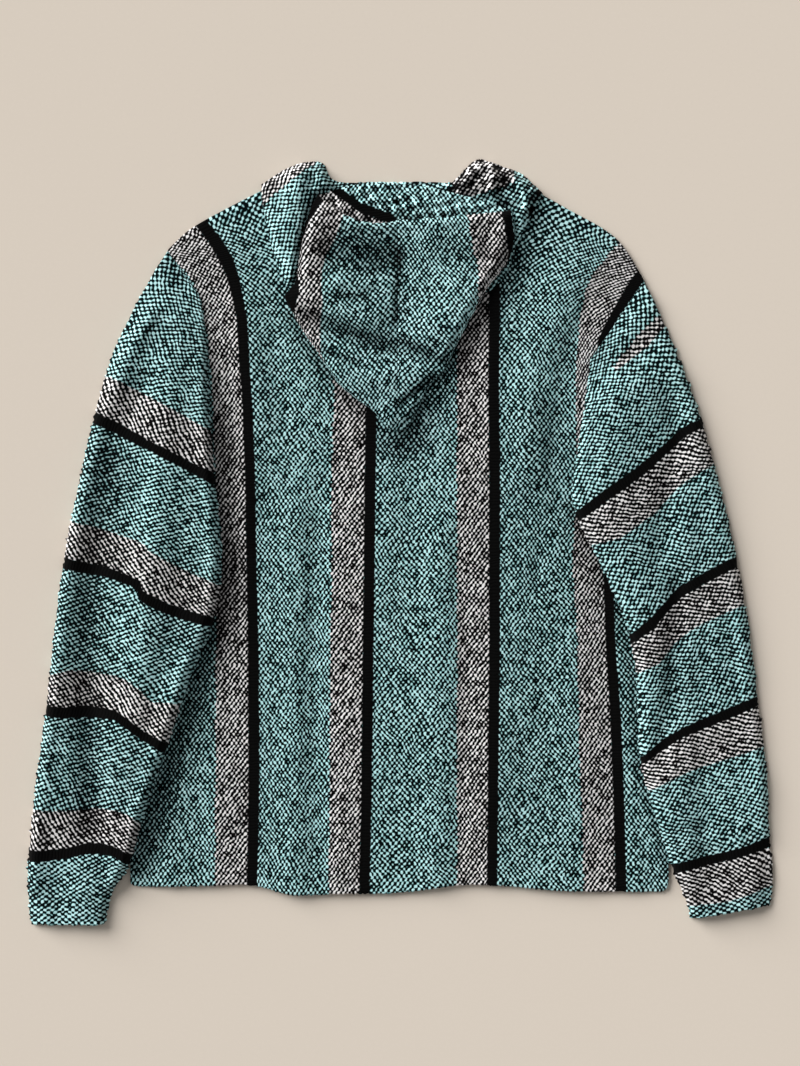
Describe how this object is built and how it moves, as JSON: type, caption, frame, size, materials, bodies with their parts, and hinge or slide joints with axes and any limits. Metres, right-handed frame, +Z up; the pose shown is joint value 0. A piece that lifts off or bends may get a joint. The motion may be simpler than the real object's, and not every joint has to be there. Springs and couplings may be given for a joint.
{
  "type": "baja hoodie laid flat",
  "caption": "Hooded pullover of thick striped woven cloth, laid flat on its front with the hood folded over the back and the sleeves along the sides.",
  "frame": {"origin": "on the surface the garment lies on, under the centre of its box", "axes": "+Z up from the surface, +Y from the hem to the hood, X across from the left-hand sleeve to the right-hand one"},
  "size_m": [0.782, 0.7999, 0.014],
  "materials": {
    "striped_cloth": "coarse two-tone weave, teal or off-white yarn on black, with plain black stripes, matt"
  },
  "bodies": {
    "root": {"front_panel": "striped_cloth", "back_panel": "striped_cloth", "sleeve_left": "striped_cloth", "sleeve_right": "striped_cloth", "hood_left": "striped_cloth", "hood_right": "striped_cloth"}
  },
  "joints": []
}
